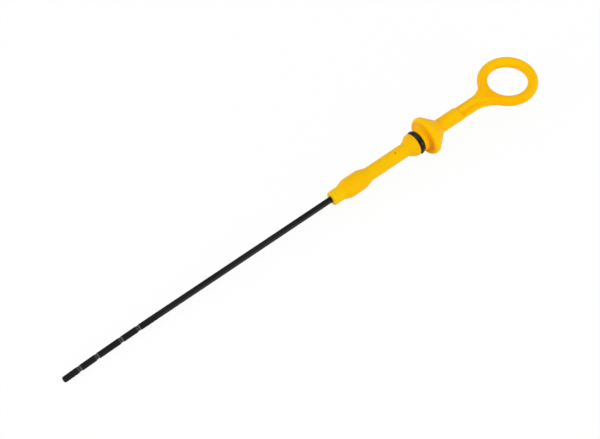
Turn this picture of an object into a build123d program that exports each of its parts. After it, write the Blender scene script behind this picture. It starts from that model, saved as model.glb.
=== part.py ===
from build123d import *

import os
from math import atan2, cos, degrees, hypot, pi, radians, sin, sqrt

# Engine oil dipstick: one yellow moulded handle, one black gauge rod, one rubber O-ring.
# Millimetres. Everything is built along the X axis, with the ring centre at the origin and the
# rod towards minus X, then laid down as on a table, on flange rim and rod tip with the ring level.

# Finger ring
RING_CENTRE_R = 15.75  # from the ring centre to the middle of its round bar
RING_BAR_R = 3.25  # radius of the ring's round bar

# Stem between ring and flange
STEM_LENGTH = 37.2  # from the ring's outer edge to the flange
ROUND_STEM_LENGTH = 15.6  # round part beside the flange, before the pockets
STEM_R = 4.35
STEM_END_ROUND = 0.7  # rounding of the round part's end
STEM_OVERLAP = 3.0  # how far the bars and ribs reach into the round part
BRANCH_OFFSET = 1.0  # two round bars, as thick as the ring's, run side by side in the stem
FLARE_R = 12.0  # outer curve of the far bar from the stem round into the ring
NEAR_FLARE_R = 18.5  # the same on the near side, minus Y, where the corner is fuller
PLATE_HALF_WIDTH = 4.2  # plate that fills the stem and the corners beside the ring
PLATE_HALF_THICK = 3.0
PLATE_EDGE_ROUND = 1.9
PLATE_FLARE_R = 14.0  # edge of the plate in the far corner
NEAR_PLATE_FLARE_R = 20.0
PLATE_STEP_IN = 0.6  # the plate sinks into the ring's bar this far inside its outer edge
PLATE_BURY = 0.75  # how far the plate reaches past the middle of the ring's bar
RIB_HALF_WIDTH = 1.4  # upright ribs left standing between the pockets
RIB_HALF_HEIGHT = 4.2
RIB_EDGE_ROUND = 1.1
RIB_SLOPE_LENGTH = 11.0  # the ribs slope down to the plate over this length, up to the ring
RIB_SINK = 0.2  # how far below the plate's face the ribs run out
POCKET_FLOOR = 1.3  # half thickness of the fins left below the pockets
POCKET_CURVE_R = 14.5  # a pocket's inner wall curves outward along the flare
POCKET_CURVE_TURN = 64.0  # degrees that this curve turns through
POCKET_PASS_RING = 0.4  # it ends this far inside the ring's outer edge
POCKET_CORNER_ROUND = 1.2
POCKET_FLOOR_ROUND = 0.5

# Raised marking pad on the stem's top, beside the flange
PAD_HEIGHT = 0.75  # above the round stem
PAD_SETBACK = 1.3  # from the pad's ring end to the end of the round stem
PAD_HALF_ANGLE = 50.0  # degrees to each side of the top
PAD_EDGE_ROUND = 0.45

# Mushroom flange
FLANGE_R = 12.35  # outer radius of the rim
FLANGE_CONE_LENGTH = 9.5  # cone towards the stem
FLANGE_RIM_LENGTH = 3.6
FLANGE_RIM_ROUND = 2.3  # rounding of the rim towards the tip
FLANGE_REAR_ROUND = 3.0  # rounding of the rim towards the cone
FLANGE_ROOT_ROUND = 1.9  # hollow curve between face and plug
FLANGE_NECK_ROUND = 1.0  # hollow curve between cone and stem

# Sealing plug with its O-ring
PLUG_R = 7.2  # lands in front of and behind the O-ring
REAR_LAND_LENGTH = 4.1
FRONT_LAND_LENGTH = 2.0
PLUG_CONE_LENGTH = 4.8
ORING_SECTION_R = 1.5
ORING_SIDE_ROOM = 0.3  # free space in the groove on each side of the O-ring
ORING_STAND_OUT = 0.5  # how far the O-ring stands out past the lands
LAND_EDGE_ROUND = 0.3
PLUG_NOSE_ROUND = 1.2
PLUG_CONE_ROUND = 1.5

# Neck, barrel and end boss
NECK_R = 4.4
NECK_LENGTH = 28.9
BARREL_R = 6.15
BARREL_LENGTH = 10.9
BARREL_REAR_CONE = 6.2  # cone between neck and barrel
BARREL_FRONT_CONE = 4.7  # cone between barrel and end boss
BARREL_ROUND = 5.0
NECK_ROUND = 5.0
BOSS_R = 4.5
BOSS_LENGTH = 7.3
BOSS_ROUND = 4.0
BOSS_END_ROUND = 1.3

# Gauge rod
ROD_R = 1.9
ROD_SHOWN = 194.6  # from the handle's end to the tip
ROD_HIDDEN = 24.3  # length inside the handle
ROD_TIP_ROUND = 0.9
ANCHOR_DISTANCES = (13.3, 19.3)  # holding grooves, from the handle's end inwards
ANCHOR_WIDTH = 2.0
ANCHOR_DEPTH = 0.35
BOW_LENGTH = 66.0  # the rod's last stretch bows gently sideways
BOW_R = 1880.0
MARK_FIRST = 11.3  # from the tip to the first level mark
MARK_PITCH = 12.15  # between the two marks of a pair
MARK_PAIR_PITCH = 29.1  # from one pair to the next
MARK_PAIRS = 2
MARK_WIDTH = 2.6
MARK_FLOOR = 1.0
MARK_DEPTH = 0.25
MARK_SHIFT = 0.1  # the marks are pressed in from the near side, so they are deeper there

CUT_MARGIN = 1.0  # cutting tools overshoot by this much
NEAR = 1e-3  # edges and corners this close to a place count as lying on it
HALVINGS = 50  # steps of the search for the resting place

# Stations along X, worked out from the lengths above
RING_OUTER_R = RING_CENTRE_R + RING_BAR_R
FLANGE_CONE_END = -(RING_OUTER_R + STEM_LENGTH)
POCKET_START = FLANGE_CONE_END + ROUND_STEM_LENGTH
FLANGE_RIM_REAR = FLANGE_CONE_END - FLANGE_CONE_LENGTH
FLANGE_FACE = FLANGE_RIM_REAR - FLANGE_RIM_LENGTH
GROOVE_WIDTH = 2 * (ORING_SECTION_R + ORING_SIDE_ROOM)
GROOVE_REAR = FLANGE_FACE - REAR_LAND_LENGTH
GROOVE_FRONT = GROOVE_REAR - GROOVE_WIDTH
PLUG_NOSE = GROOVE_FRONT - FRONT_LAND_LENGTH
PLUG_CONE_START = PLUG_NOSE - PLUG_CONE_LENGTH
NECK_START = PLUG_CONE_START - NECK_LENGTH
BARREL_END = NECK_START - BARREL_REAR_CONE
BARREL_START = BARREL_END - BARREL_LENGTH
BOSS_END = BARREL_START - BARREL_FRONT_CONE
HANDLE_END = BOSS_END - BOSS_LENGTH
ROD_TIP = HANDLE_END - ROD_SHOWN
BOW_START = ROD_TIP + BOW_LENGTH

# The O-ring's middle lies where its inside touches the groove floor
ORING_CENTRE_R = PLUG_R + ORING_STAND_OUT - ORING_SECTION_R
GROOVE_FLOOR_R = ORING_CENTRE_R - ORING_SECTION_R


def turned(corners):
    """Solid turned about X from corners (x, radius, rounding)."""
    first = corners[0]
    last = corners[-1]
    points = [(x, radius) for x, radius, _ in corners]
    outline = Polyline(*points, (last[0], 0), (first[0], 0), close=True)
    face = make_face(outline)
    for x, radius, rounding in corners:
        if rounding > 0:
            here = [v for v in face.vertices() if hypot(v.X - x, v.Y - radius) < NEAR]
            face = fillet(here, rounding)
    return revolve(face, axis=Axis.X)


def handle_core():
    """Round part of the handle, from the rod's exit to the round stem, with the O-ring groove."""
    return turned(
        [
            (HANDLE_END, BOSS_R, BOSS_END_ROUND),
            (BOSS_END, BOSS_R, BOSS_ROUND),
            (BARREL_START, BARREL_R, BARREL_ROUND),
            (BARREL_END, BARREL_R, BARREL_ROUND),
            (NECK_START, NECK_R, NECK_ROUND),
            (PLUG_CONE_START, NECK_R, PLUG_CONE_ROUND),
            (PLUG_NOSE, PLUG_R, PLUG_NOSE_ROUND),
            (GROOVE_FRONT, PLUG_R, LAND_EDGE_ROUND),
            (GROOVE_FRONT, GROOVE_FLOOR_R, 0),
            (GROOVE_REAR, GROOVE_FLOOR_R, 0),
            (GROOVE_REAR, PLUG_R, LAND_EDGE_ROUND),
            (FLANGE_FACE, PLUG_R, FLANGE_ROOT_ROUND),
            (FLANGE_FACE, FLANGE_R, FLANGE_RIM_ROUND),
            (FLANGE_RIM_REAR, FLANGE_R, FLANGE_REAR_ROUND),
            (FLANGE_CONE_END, STEM_R, FLANGE_NECK_ROUND),
            (POCKET_START, STEM_R, STEM_END_ROUND),
        ]
    )


def ring():
    """The finger ring, a round bar bent into a circle."""
    section = Plane.XZ * Pos(RING_CENTRE_R, 0) * Circle(RING_BAR_R)
    return revolve(section, axis=Axis.Z)


def bar(flare_r):
    """Round bar on the minus Y side, from the stem round into the ring."""
    curve_r = flare_r + RING_BAR_R
    centre_y = BRANCH_OFFSET + curve_r
    centre_x = -sqrt((RING_CENTRE_R + curve_r) ** 2 - centre_y**2)
    turn = 90 - degrees(atan2(centre_y, -centre_x))
    section = Plane.YZ.offset(centre_x) * Pos(-BRANCH_OFFSET, 0) * Circle(RING_BAR_R)
    curved = revolve(section, axis=Axis((centre_x, -centre_y, 0), (0, 0, -1)), revolution_arc=turn)
    straight = extrude(section, POCKET_START - STEM_OVERLAP - centre_x)
    return curved + straight


def bars():
    """Two round bars, side by side in the stem, each curving tangent into the ring."""
    return bar(NEAR_FLARE_R) + mirror(bar(FLARE_R), about=Plane.XZ)


def plate_corner(flare_r):
    """Where the plate's edge leaves the stem, its middle, its end on the ring and inside the bar."""
    meet_r = RING_OUTER_R - PLATE_STEP_IN
    inner_r = RING_CENTRE_R - PLATE_BURY
    centre_y = PLATE_HALF_WIDTH + flare_r
    centre_x = -sqrt((meet_r + flare_r) ** 2 - centre_y**2)
    aim = atan2(centre_y, -centre_x)
    halfway = (aim + pi / 2) / 2
    leave = (centre_x, PLATE_HALF_WIDTH)
    middle = (centre_x + flare_r * cos(halfway), centre_y - flare_r * sin(halfway))
    touch = (-meet_r * cos(aim), meet_r * sin(aim))
    inner = (-inner_r * cos(aim), inner_r * sin(aim))
    return leave, middle, touch, inner


def other_side(place):
    return (place[0], -place[1])


def plate():
    """Plate through the middle of the stem, flaring out on both sides into the ring's bar."""
    start = POCKET_START - STEM_OVERLAP
    side = PLATE_HALF_WIDTH
    leave, middle, touch, inner = plate_corner(PLATE_FLARE_R)
    near_leave, near_middle, near_touch, near_inner = [
        other_side(place) for place in plate_corner(NEAR_PLATE_FLARE_R)
    ]
    edges = [
        Line((start, -side), (start, side)),
        Line((start, side), leave),
        ThreePointArc(leave, middle, touch),
        Line(touch, inner),
        ThreePointArc(inner, (PLATE_BURY - RING_CENTRE_R, 0), near_inner),
        Line(near_inner, near_touch),
        ThreePointArc(near_touch, near_middle, near_leave),
        Line(near_leave, (start, -side)),
    ]
    slab = extrude(make_face(Wire(edges)), PLATE_HALF_THICK, both=True)
    inside_bar = RING_CENTRE_R + RING_BAR_R / 2
    rims = []
    for edge in slab.edges():
        box = edge.bounding_box()
        middle = edge.position_at(0.5)
        flat = box.max.Z - box.min.Z < NEAR
        shows = hypot(middle.X, middle.Y) > inside_bar and box.max.X > POCKET_START
        if flat and shows:
            rims.append(edge)
    return fillet(rims, PLATE_EDGE_ROUND)


def pockets():
    """The four pockets that leave flat fins and upright ribs in the stem."""
    turn = radians(POCKET_CURVE_TURN)
    half = turn / 2
    curve_end = -(RING_OUTER_R - POCKET_PASS_RING)
    curve_start = curve_end - POCKET_CURVE_R * sin(turn)
    curve_y = -(RIB_HALF_WIDTH + POCKET_CURVE_R)
    middle = (curve_start + POCKET_CURVE_R * sin(half), curve_y + POCKET_CURVE_R * cos(half))
    end = (curve_end, curve_y + POCKET_CURVE_R * cos(turn))
    edges = [
        Line((POCKET_START, -RING_OUTER_R), (POCKET_START, -RIB_HALF_WIDTH)),
        Line((POCKET_START, -RIB_HALF_WIDTH), (curve_start, -RIB_HALF_WIDTH)),
        ThreePointArc((curve_start, -RIB_HALF_WIDTH), middle, end),
        Line(end, (curve_end, -RING_OUTER_R)),
        Line((curve_end, -RING_OUTER_R), (POCKET_START, -RING_OUTER_R)),
    ]
    outline = make_face(Wire(edges))
    corner = [
        v for v in outline.vertices() if hypot(v.X - POCKET_START, v.Y + RIB_HALF_WIDTH) < NEAR
    ]
    outline = fillet(corner, POCKET_CORNER_ROUND)
    cutter = extrude(Pos(0, 0, POCKET_FLOOR) * outline, RIB_HALF_HEIGHT + CUT_MARGIN)
    floor_rims = []
    for edge in cutter.edges():
        box = edge.bounding_box()
        on_floor = box.max.Z < POCKET_FLOOR + NEAR
        at_wall = box.max.Y > end[1] + NEAR
        shows = box.max.Y - box.min.Y < RING_OUTER_R / 2
        if on_floor and at_wall and shows:
            floor_rims.append(edge)
    cutter = fillet(floor_rims, POCKET_FLOOR_ROUND)
    pair = cutter + mirror(cutter, about=Plane.XZ)
    return pair + mirror(pair, about=Plane.XY)


def ribs():
    """The upright ribs above and below, running out on the plate towards the ring."""
    start = POCKET_START - STEM_OVERLAP
    slope_end = -RING_OUTER_R
    slope_start = slope_end - RIB_SLOPE_LENGTH
    low = PLATE_HALF_THICK - RIB_SINK
    side = Plane.XZ * Polyline(
        (start, RIB_HALF_HEIGHT),
        (slope_start, RIB_HALF_HEIGHT),
        (slope_end, low),
        (slope_end, -low),
        (slope_start, -RIB_HALF_HEIGHT),
        (start, -RIB_HALF_HEIGHT),
        close=True,
    )
    blade = extrude(make_face(side), RIB_HALF_WIDTH, both=True)
    rims = []
    for edge in blade.edges():
        box = edge.bounding_box()
        along = box.max.X - box.min.X > RIB_HALF_HEIGHT
        if along and max(abs(box.max.Z), abs(box.min.Z)) > PLATE_HALF_THICK:
            rims.append(edge)
    return fillet(rims, RIB_EDGE_ROUND)


def marking_pad():
    """Blank raised pad on the top of the round stem."""
    outer_r = STEM_R + PAD_HEIGHT
    start = FLANGE_CONE_END - FLANGE_NECK_ROUND
    length = POCKET_START - PAD_SETBACK - start
    sleeve = extrude(Plane.YZ.offset(start) * Circle(outer_r), length)
    half = radians(PAD_HALF_ANGLE)
    reach = outer_r * 2
    wedge = Plane.YZ.offset(start - CUT_MARGIN) * make_face(
        Polyline(
            (0, 0),
            (reach * sin(half), reach * cos(half)),
            (0, reach * 2),
            (-reach * sin(half), reach * cos(half)),
            close=True,
        )
    )
    pad = sleeve & extrude(wedge, length + 2 * CUT_MARGIN)
    rims = []
    for edge in pad.edges():
        box = edge.bounding_box()
        middle = edge.position_at(0.5)
        outside = hypot(middle.Y, middle.Z) > STEM_R + PAD_HEIGHT / 2
        along = box.max.X - box.min.X > length / 2
        at_end = box.min.X > start + length - NEAR
        if outside and (along or at_end):
            rims.append(edge)
    return fillet(rims, PAD_EDGE_ROUND)


def handle(rod):
    """The whole yellow moulding, formed around the rod's hidden end."""
    stem = ring() + bars() + plate() - pockets() + ribs()
    body = stem + (handle_core() + marking_pad())
    return body - rod


def groove_cutter(width, floor, depth):
    """Cuts a groove with sloping sides round the rod, centred on the origin."""
    slope = (width - floor) / 2 / depth
    outer = floor / 2 + slope * (depth + CUT_MARGIN)
    profile = Polyline(
        (-floor / 2, ROD_R - depth),
        (floor / 2, ROD_R - depth),
        (outer, ROD_R + CUT_MARGIN),
        (-outer, ROD_R + CUT_MARGIN),
        close=True,
    )
    return revolve(make_face(profile), axis=Axis.X)


def bow_place(along):
    """Point on the bow's middle line, this far from its start, and the turn there in radians."""
    turn = along / BOW_R
    return (BOW_START - BOW_R * sin(turn), -BOW_R * (1 - cos(turn))), turn


def gauge_rod():
    """The black rod: straight, with a gentle bow towards the tip and its level marks."""
    start = HANDLE_END + ROD_HIDDEN
    straight = extrude(Plane.YZ.offset(start) * Circle(ROD_R), BOW_START - start)
    middle, _ = bow_place(BOW_LENGTH / 2)
    end, _ = bow_place(BOW_LENGTH)
    path = ThreePointArc((BOW_START, 0), middle, end)
    bow = sweep(Plane.YZ.offset(BOW_START) * Circle(ROD_R), path=path)
    tip_rim = [e for e in bow.edges() if e.bounding_box().max.X < end[0] + ROD_R]
    rod = straight + fillet(tip_rim, ROD_TIP_ROUND)
    for distance in ANCHOR_DISTANCES:
        rod -= Pos(HANDLE_END + distance, 0, 0) * groove_cutter(ANCHOR_WIDTH, ANCHOR_WIDTH, ANCHOR_DEPTH)
    for pair in range(MARK_PAIRS):
        for mark in range(2):
            from_tip = MARK_FIRST + pair * MARK_PAIR_PITCH + mark * MARK_PITCH
            place, turn = bow_place(BOW_LENGTH - from_tip)
            cutter = groove_cutter(MARK_WIDTH, MARK_FLOOR, MARK_DEPTH)
            rod -= Pos(*place, 0) * Rot(0, 0, degrees(turn)) * Pos(0, MARK_SHIFT, 0) * cutter
    return rod


def o_ring():
    """The rubber ring, resting on the floor of its groove."""
    middle = (GROOVE_FRONT + GROOVE_REAR) / 2
    section = Pos(middle, ORING_CENTRE_R) * Circle(ORING_SECTION_R)
    return revolve(section, axis=Axis.X)


def halving(off, low, high):
    """Where off changes sign between low and high, found by halving."""
    low_off = off(low)
    for _ in range(HALVINGS):
        middle = (low + high) / 2
        if (off(middle) > 0) == (low_off > 0):
            low = middle
        else:
            high = middle
    return (low + high) / 2


def flange_low(up):
    """Lowest height of the flange's rounded rim."""
    middle = (FLANGE_FACE + FLANGE_RIM_ROUND) * up.X
    return middle - (FLANGE_R - FLANGE_RIM_ROUND) * up.Z - FLANGE_RIM_ROUND


def tip_low(up):
    """Lowest height of the rod's rounded tip."""
    (x, _), turn = bow_place(BOW_LENGTH - ROD_TIP_ROUND)
    along = -up.X * cos(turn)
    return x * up.X - (ROD_R - ROD_TIP_ROUND) * sqrt(1 - along**2) - ROD_TIP_ROUND


def resting_place():
    """Upward direction when flange rim and rod tip touch the table, with the ring level."""

    def off(pitch):
        up = Vector(sin(pitch), 0, cos(pitch))
        return flange_low(up) - tip_low(up)

    pitch = halving(off, 0, pi / 4)
    return Vector(sin(pitch), 0, cos(pitch))


def main():
    os.makedirs("parts", exist_ok=True)
    rod = gauge_rod()
    pieces = {"handle": handle(rod), "gauge_rod": rod, "o_ring": o_ring()}
    up = resting_place()
    lay_down = Plane((0, 0, 0), x_dir=Vector(1, 0, 0) - up * up.X, z_dir=up).location.inverse()
    lain = {}
    for name, shape in pieces.items():
        lain[name] = lay_down * shape
    box = Compound(children=list(lain.values())).bounding_box()
    home = Pos(-(box.min.X + box.max.X) / 2, -(box.min.Y + box.max.Y) / 2, -box.min.Z)
    for name, shape in lain.items():
        placed = home * shape
        solids = placed.solids()
        export_step(solids[0] if len(solids) == 1 else placed, "parts/" + name + ".step")
        size = placed.bounding_box()
        print(name, "solids", len(solids), "volume", round(placed.volume, 1), size.min, size.max)
    print("up", up, "home", home.position)


main()
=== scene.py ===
from math import cos, radians, sin

import bpy
from mathutils import Matrix, Vector


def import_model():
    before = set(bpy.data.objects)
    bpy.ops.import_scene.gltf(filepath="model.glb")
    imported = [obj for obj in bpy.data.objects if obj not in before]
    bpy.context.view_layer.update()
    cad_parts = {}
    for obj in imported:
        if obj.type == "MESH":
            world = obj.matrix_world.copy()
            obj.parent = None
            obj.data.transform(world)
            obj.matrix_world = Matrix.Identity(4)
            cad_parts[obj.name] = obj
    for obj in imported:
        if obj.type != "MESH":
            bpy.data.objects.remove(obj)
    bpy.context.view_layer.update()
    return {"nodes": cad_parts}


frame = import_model()

# The frame is the CAD's, in metres. The ring is level and the rod runs towards minus X.
CAMERA_PLACE = (-0.46442, -0.54900, 0.92539)
CAMERA_AIM = (-0.00836, -0.00177, 0.01202)
CAMERA_ROLL = 0.78683  # degrees, anticlockwise seen from behind it
CAMERA_LENS = 118.6256  # mm
CAMERA_SENSOR = 36.0  # mm
CAMERA_CLIP = (0.05, 20.0)

# Azimuth and elevation in degrees, the two sides of the lamp, and its power in watts.
# Azimuth 0 is towards plus X and 90 towards plus Y.
LIGHTS = {
    "low": (285, 16, (1.2, 0.5), 5.8),
    "front": (301, 24, (0.5, 0.4), 2.3),
    "left": (160, 26, (1.3, 0.8), 8.4),
    "top": (30, 80, (1.2, 1.2), 4.4),
}
LIGHT_AIM = (0.08, 0, 0.01)  # in the handle's plug
LIGHT_DISTANCE = 1.5
WORLD_STRENGTH = 0.616

FLOOR_HALF = 3.0
FLOOR_COLOUR = (0.90, 0.90, 0.90, 1)
FLOOR_WHITE = 0.95  # how much of the floor is plain white to the camera, the rest takes light

RING_CENTRE = (0.158599, 0.0, 0.014948)
PART_TILT = 0.038906  # radians between the part's axis and the table

# Places on the part, in metres from the ring's centre, with X along the part's axis and the rod
# at minus X. A step says where a mask is 0 and where it is 1. A band has a step at each end.
PLUG_STEP = (-0.0960, -0.0830)
STEM_STEP = (-0.0585, -0.0555)
RING_STEP = (-0.0240, -0.0180)
WEB_BAND = ((-0.0460, -0.0370), (-0.0190, -0.0250))
BARREL_STEP = (-0.1120, -0.1180)
CONE_BAND = ((-0.0860, -0.0835), (-0.0745, -0.0775))
GROOVE_BAND = ((-0.0777, -0.0772), (-0.0732, -0.0736))
MOUTH_STEP = (-0.1325, -0.1360)
FLANGE_STEP = (-0.0500, -0.0550)
HOLLOW_BAND = ((-0.0713, -0.0695), (-0.0640, -0.0660))
SPECK = (-0.0923, -0.00065, 0.00435)
MARKS = (-0.32510, -0.31295, -0.29600, -0.28385)
# Where the painted sheen on the rod's near side starts, towards the handle
SHEEN_STEP = (-0.2750, -0.2650)

# Distances from the part's axis
RIM_RADIUS = (0.0109, 0.0122)
HOLLOW_RADIUS = (0.0120, 0.0088)

# For the painted shade in the flange's hollow, steps in height from its top and from its bottom,
# and in Y from its far side. The third number is what is left of the mask at the step's start.
HOLLOW_TOP = (0.0095, 0.0025, 0.45)
HOLLOW_BOTTOM = (-0.0075, -0.0015, 0.4)
HOLLOW_FAR = (0.0045, -0.0015, 0.2)

# Round the ring, the colour goes with RING_SLANT times X plus Y, from the near side at the stem
# to the far side at the end
RING_SLANT = 2.0
RING_SWEEP = (-0.038, 0.034)

SPECK_EDGE = (0.00095, 0.00040)  # distance from the speck's centre
SPECK_RAGGED = 0.0004

# Along the part's axis from a level mark: the painted highlight bands on the groove's flanks, on
# its tip side and on its handle side
TIP_BAND = ((-0.0018, -0.0013), (-0.0006, -0.0010))
END_BAND = ((-0.0003, 0.0002), (0.0011, 0.0008))
TIP_BAND_STRENGTH = 0.65
# Where the rod's near side is painted lighter, a painted sheen
SHEEN_SIDE = (-0.0009, -0.0019)  # Y on the rod

# Strengths of the painted shade in the O-ring's groove, of the clouds, and of the painted shade
# in the flange's hollow
GROOVE_SHADE_STRENGTH = 0.7
CLOUD_STRENGTH = 0.35
HOLLOW_SHADE_STRENGTH = 0.80

YELLOW = {
    "neck": (0.868, 0.497, 0.0014, 1),
    "plug": (0.910, 0.471, 0.0012, 1),
    # The stem's yellow is the plug's made a little lighter: painted light where the stem is lit
    # more
    "stem": (0.930, 0.484, 0.0012, 1),
    "ring at stem": (0.918, 0.444, 0.0010, 1),
    "ring at end": (0.922, 0.517, 0.0016, 1),
    "web": (0.910, 0.512, 0.0014, 1),
    "barrel": (0.880, 0.470, 0.0020, 1),
    "cone": (0.845, 0.460, 0.0016, 1),
    "mouth": (0.850, 0.530, 0.0030, 1),
    "cloud": (0.910, 0.500, 0.0025, 1),
    # Painted highlight: a paler yellow on the flange's rim, standing in for light on it
    "rim": (0.925, 0.512, 0.0016, 1),
}
# Painted shade: a deeper orange in the flange's hollow, where shade falls
HOLLOW_SHADE_ORANGE = (0.790, 0.220, 0.0006, 1)
# Painted shade: a dark line in and beside the O-ring's groove, where its shadow falls
GROOVE_SHADE = (0.30, 0.070, 0.004, 1)
SPECK_BROWN = (0.26, 0.075, 0.008, 1)
BLACK = (0.0090, 0.0090, 0.0092, 1)
BLACK_STREAK = (0.0150, 0.0150, 0.0153, 1)
# Painted sheen: a lighter black along the rod's near side
BLACK_SHEEN = (0.030, 0.030, 0.031, 1)
# Painted highlight: a pale grey on the flanks of the level marks
MARK_HIGHLIGHT = (0.098, 0.098, 0.099, 1)
RUBBER = (0.0012, 0.0012, 0.0012, 1)
RUBBER_DUST = (0.0035, 0.0033, 0.0032, 1)
WHITE = (1, 1, 1, 1)


class Nodes:
    """Short ways to add and join the nodes of a material or world, which starts empty."""

    def __init__(self, owner):
        owner.use_nodes = True
        self.tree = owner.node_tree
        self.tree.nodes.clear()

    def add(self, kind, inputs=None, **settings):
        node = self.tree.nodes.new(kind)
        for key, value in settings.items():
            setattr(node, key, value)
        for key, value in (inputs or {}).items():
            socket = node.inputs[key]
            if isinstance(value, bpy.types.NodeSocket):
                self.tree.links.new(value, socket)
            else:
                socket.default_value = value
        return node

    def math(self, operation, *values):
        return self.add("ShaderNodeMath", dict(enumerate(values)), operation=operation).outputs[0]

    def times(self, a, b):
        return self.math("MULTIPLY", a, b)

    def spread(self, value, low, more):
        """Goes from low to low plus more, as value goes from 0 to 1."""
        return self.math("MULTIPLY_ADD", value, more, low)

    def ramp(self, value, low, high, out_low=0.0, out_high=1.0):
        """A smooth step of value, from out_low at low to out_high at high."""
        node = self.add(
            "ShaderNodeMapRange",
            {0: value, 1: low, 2: high, 3: out_low, 4: out_high},
            interpolation_type="SMOOTHSTEP",
        )
        return node.outputs[0]

    def band(self, value, begin, end):
        """1 between two steps and 0 outside them."""
        return self.times(self.ramp(value, *begin), self.ramp(value, *end))

    def noise(self, place, scale, detail=2.0, rough=0.5, stretch=None):
        if stretch is not None:
            place = self.add("ShaderNodeMapping", {"Vector": place, "Scale": stretch}).outputs[0]
        inputs = {"Vector": place, "Scale": scale, "Detail": detail, "Roughness": rough}
        return self.add("ShaderNodeTexNoise", inputs).outputs["Fac"]

    def blend(self, factor, a, b):
        node = self.add(
            "ShaderNodeMix", {0: factor, 6: a, 7: b}, data_type="RGBA", clamp_factor=True
        )
        return node.outputs[2]

    def vector_math(self, operation, a, b):
        return self.add("ShaderNodeVectorMath", {0: a, 1: b}, operation=operation).outputs

    def distance(self, a, b):
        return self.vector_math("DISTANCE", a, b)["Value"]

    def split(self, place):
        """The place's X, Y and Z."""
        return tuple(self.add("ShaderNodeSeparateXYZ", {0: place}).outputs)

    def bump(self, height, strength, distance):
        inputs = {"Strength": strength, "Distance": distance, "Height": height}
        return self.add("ShaderNodeBump", inputs).outputs[0]

    def part_place(self):
        """Place in metres from the ring's centre, X along the part's axis."""
        here = self.add("ShaderNodeTexCoord").outputs["Object"]
        moved = self.vector_math("SUBTRACT", here, RING_CENTRE)[0]
        turn = {"Vector": moved, "Axis": (0, 1, 0), "Angle": PART_TILT}
        return self.add("ShaderNodeVectorRotate", turn, rotation_type="AXIS_ANGLE").outputs[0]

    def from_axis(self, place):
        """Distance from the part's axis."""
        return self.distance(self.vector_math("MULTIPLY", place, (0, 1, 1))[0], (0, 0, 0))

    def surface(self, inputs):
        """Ends a material with a Principled shader."""
        shader = self.add("ShaderNodeBsdfPrincipled", inputs).outputs[0]
        self.add("ShaderNodeOutputMaterial", {0: shader})


def hollow_shade(n, place):
    """Painted shade in the flange's hollow, a deeper orange where shade falls, less at top,
    bottom and far side.
    """
    x, y, z = n.split(place)
    inside = n.times(n.band(x, *HOLLOW_BAND), n.ramp(n.from_axis(place), *HOLLOW_RADIUS))
    heights = n.band(z, HOLLOW_TOP, HOLLOW_BOTTOM)
    return n.times(inside, n.times(heights, n.ramp(y, *HOLLOW_FAR)))


def rim(n, place, x):
    """Painted highlight on the flange's outer rim, a paler yellow standing in for light. The step
    leaves out the ring, which is as wide.
    """
    return n.times(n.ramp(x, *FLANGE_STEP), n.ramp(n.from_axis(place), *RIM_RADIUS))


def speck(n, place):
    """A small dark speck on the neck, with a ragged edge."""
    ragged = n.times(n.noise(place, scale=2500.0), SPECK_RAGGED)
    return n.ramp(n.math("ADD", n.distance(place, SPECK), ragged), *SPECK_EDGE)


def yellow_plastic():
    made = bpy.data.materials.new("yellow_plastic")
    n = Nodes(made)
    place = n.part_place()
    x, y, _ = n.split(place)
    sweep = n.ramp(n.math("MULTIPLY_ADD", x, RING_SLANT, y), *RING_SWEEP)
    cloud = n.ramp(n.noise(place, scale=55.0, detail=3.0, rough=0.55), 0.35, 0.65)
    grain = n.noise(place, scale=900.0, detail=3.0, rough=0.6)
    smear = n.noise(place, scale=120.0, detail=4.0, rough=0.6, stretch=(0.25, 1.0, 1.0))

    colour = n.blend(n.ramp(x, *PLUG_STEP), YELLOW["neck"], YELLOW["plug"])
    layers = (
        # painted light: the stem's lighter yellow
        (n.ramp(x, *STEM_STEP), YELLOW["stem"]),
        (n.ramp(x, *RING_STEP), n.blend(sweep, YELLOW["ring at stem"], YELLOW["ring at end"])),
        (n.band(x, *WEB_BAND), YELLOW["web"]),
        (n.ramp(x, *BARREL_STEP), YELLOW["barrel"]),
        (n.band(x, *CONE_BAND), YELLOW["cone"]),
        # painted shade along the O-ring's groove
        (n.times(n.band(x, *GROOVE_BAND), GROOVE_SHADE_STRENGTH), GROOVE_SHADE),
        (n.ramp(x, *MOUTH_STEP), YELLOW["mouth"]),
        (n.times(cloud, CLOUD_STRENGTH), YELLOW["cloud"]),
        # painted highlight on the flange's rim
        (rim(n, place, x), YELLOW["rim"]),
        # painted shade in the flange's hollow
        (n.times(hollow_shade(n, place), HOLLOW_SHADE_STRENGTH), HOLLOW_SHADE_ORANGE),
        (speck(n, place), SPECK_BROWN),
    )
    for mask, layer in layers:
        colour = n.blend(mask, colour, layer)
    n.surface(
        {
            "Base Color": colour,
            "Roughness": n.spread(smear, low=0.30, more=0.16),
            "IOR": 1.45,
            "Specular IOR Level": 0.10,
            "Specular Tint": (1.0, 0.82, 0.06, 1),
            "Normal": n.bump(n.math("ADD", grain, smear), strength=0.10, distance=0.0002),
        }
    )
    return made


def mark_highlights(n, place, x):
    """Painted highlight on the rod's level marks, from 0 to 1: two pale bands on the groove's
    flanks, standing in for light on them, with a dark core, broken into patches.
    """
    total = 0.0
    for mark in MARKS:
        off = n.math("SUBTRACT", x, mark)
        tip = n.band(off, *TIP_BAND)
        end = n.band(off, *END_BAND)
        total = n.math("ADD", total, n.math("MULTIPLY_ADD", tip, TIP_BAND_STRENGTH, end))
    # Patches of the painted highlight
    painted_sheen = n.ramp(n.noise(place, scale=900.0, detail=3.0, rough=0.6), 0.25, 0.6, 0.45, 1.0)
    return n.times(total, painted_sheen)


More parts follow.
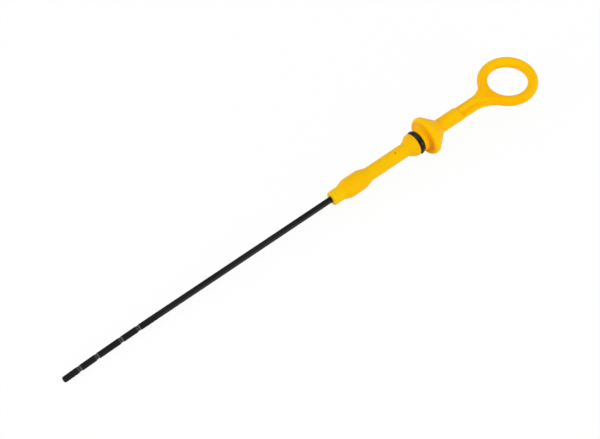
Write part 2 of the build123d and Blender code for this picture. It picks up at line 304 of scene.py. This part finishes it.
def black_plastic():
    made = bpy.data.materials.new("black_plastic")
    n = Nodes(made)
    place = n.part_place()
    x, y, _ = n.split(place)
    streak = n.noise(place, scale=700.0, detail=4.0, rough=0.6, stretch=(0.04, 1.0, 1.0))
    cloud = n.noise(place, scale=90.0, detail=3.0, rough=0.6)
    # Painted sheen: the rod's near side, from the step towards the handle, is painted lighter
    painted_sheen = n.times(n.ramp(x, *SHEEN_STEP), n.ramp(y, *SHEEN_SIDE))

    colour = n.blend(n.ramp(streak, 0.40, 0.75), BLACK, BLACK_STREAK)
    colour = n.blend(painted_sheen, colour, BLACK_SHEEN)
    # painted highlight on the level marks
    colour = n.blend(mark_highlights(n, place, x), colour, MARK_HIGHLIGHT)
    n.surface(
        {
            "Base Color": colour,
            "Roughness": n.spread(cloud, low=0.38, more=0.16),
            "IOR": 1.45,
            "Specular IOR Level": 0.12,
            "Specular Tint": (0.50, 0.50, 0.50, 1),
            "Normal": n.bump(streak, strength=0.12, distance=0.0001),
        }
    )
    return made


def seal_rubber():
    made = bpy.data.materials.new("seal_rubber")
    n = Nodes(made)
    place = n.part_place()
    cloud = n.noise(place, scale=700.0, detail=4.0, rough=0.6)
    dust = n.ramp(n.noise(place, scale=260.0, detail=3.0, rough=0.6), 0.45, 0.75)
    n.surface(
        {
            "Base Color": n.blend(dust, RUBBER, RUBBER_DUST),
            "Roughness": 0.21,
            "IOR": 1.50,
            "Specular IOR Level": 0.31,
            "Normal": n.bump(cloud, strength=0.2, distance=0.0001),
        }
    )
    return made


def give(node, made):
    mesh = frame["nodes"][node].data
    mesh.materials.clear()
    mesh.materials.append(made)
    mesh.polygons.foreach_set("material_index", [0] * len(mesh.polygons))


def put(name, data, place=None):
    """Adds an object to the scene, at place if a matrix is given."""
    made = bpy.data.objects.new(name, data)
    bpy.context.scene.collection.objects.link(made)
    if place is not None:
        made.matrix_world = place
    return made


def facing(direction):
    """Turns a camera or lamp to look along direction."""
    return direction.to_track_quat("-Z", "Y").to_matrix().to_4x4()


def camera():
    data = bpy.data.cameras.new("camera")
    data.lens = CAMERA_LENS
    data.sensor_width = CAMERA_SENSOR
    data.clip_start, data.clip_end = CAMERA_CLIP
    place = Vector(CAMERA_PLACE)
    look = facing(Vector(CAMERA_AIM) - place)
    roll = Matrix.Rotation(radians(CAMERA_ROLL), 4, "Z")
    bpy.context.scene.camera = put("camera", data, Matrix.Translation(place) @ look @ roll)


def floor():
    mesh = bpy.data.meshes.new("floor")
    corners = [
        (FLOOR_HALF * x, FLOOR_HALF * y, 0) for x, y in ((-1, -1), (1, -1), (1, 1), (-1, 1))
    ]
    mesh.from_pydata(corners, [], [(0, 1, 2, 3)])
    made = bpy.data.materials.new("floor")
    n = Nodes(made)
    path = n.add("ShaderNodeLightPath")
    paper = n.add("ShaderNodeBsdfDiffuse", {"Color": FLOOR_COLOUR}).outputs[0]
    white = n.add("ShaderNodeEmission", {"Color": WHITE, "Strength": 1.0}).outputs[0]
    seen = n.times(path.outputs["Is Camera Ray"], FLOOR_WHITE)
    mixed = n.add("ShaderNodeMixShader", {0: seen, 1: paper, 2: white}).outputs[0]
    n.add("ShaderNodeOutputMaterial", {0: mixed})
    mesh.materials.append(made)
    plane = put("floor", mesh)


def light(name, azimuth, elevation, size, power):
    """A soft box that faces the handle."""
    data = bpy.data.lights.new(name, "AREA")
    data.shape = "RECTANGLE"
    data.size, data.size_y = size
    data.energy = power
    turn = radians(azimuth)
    rise = radians(elevation)
    away = Vector((cos(turn) * cos(rise), sin(turn) * cos(rise), sin(rise)))
    place = Matrix.Translation(Vector(LIGHT_AIM) + LIGHT_DISTANCE * away)
    put(name, data, place @ facing(-away))


def world():
    made = bpy.data.worlds.new("studio")
    n = Nodes(made)
    inputs = {"Color": WHITE, "Strength": WORLD_STRENGTH}
    n.add("ShaderNodeOutputWorld", {0: n.add("ShaderNodeBackground", inputs).outputs[0]})
    bpy.context.scene.world = made


give("handle", yellow_plastic())
give("gauge_rod", black_plastic())
give("o_ring", seal_rubber())
camera()
floor()
world()
for name, values in LIGHTS.items():
    light(name, *values)

bpy.context.scene.view_settings.view_transform = "Standard"
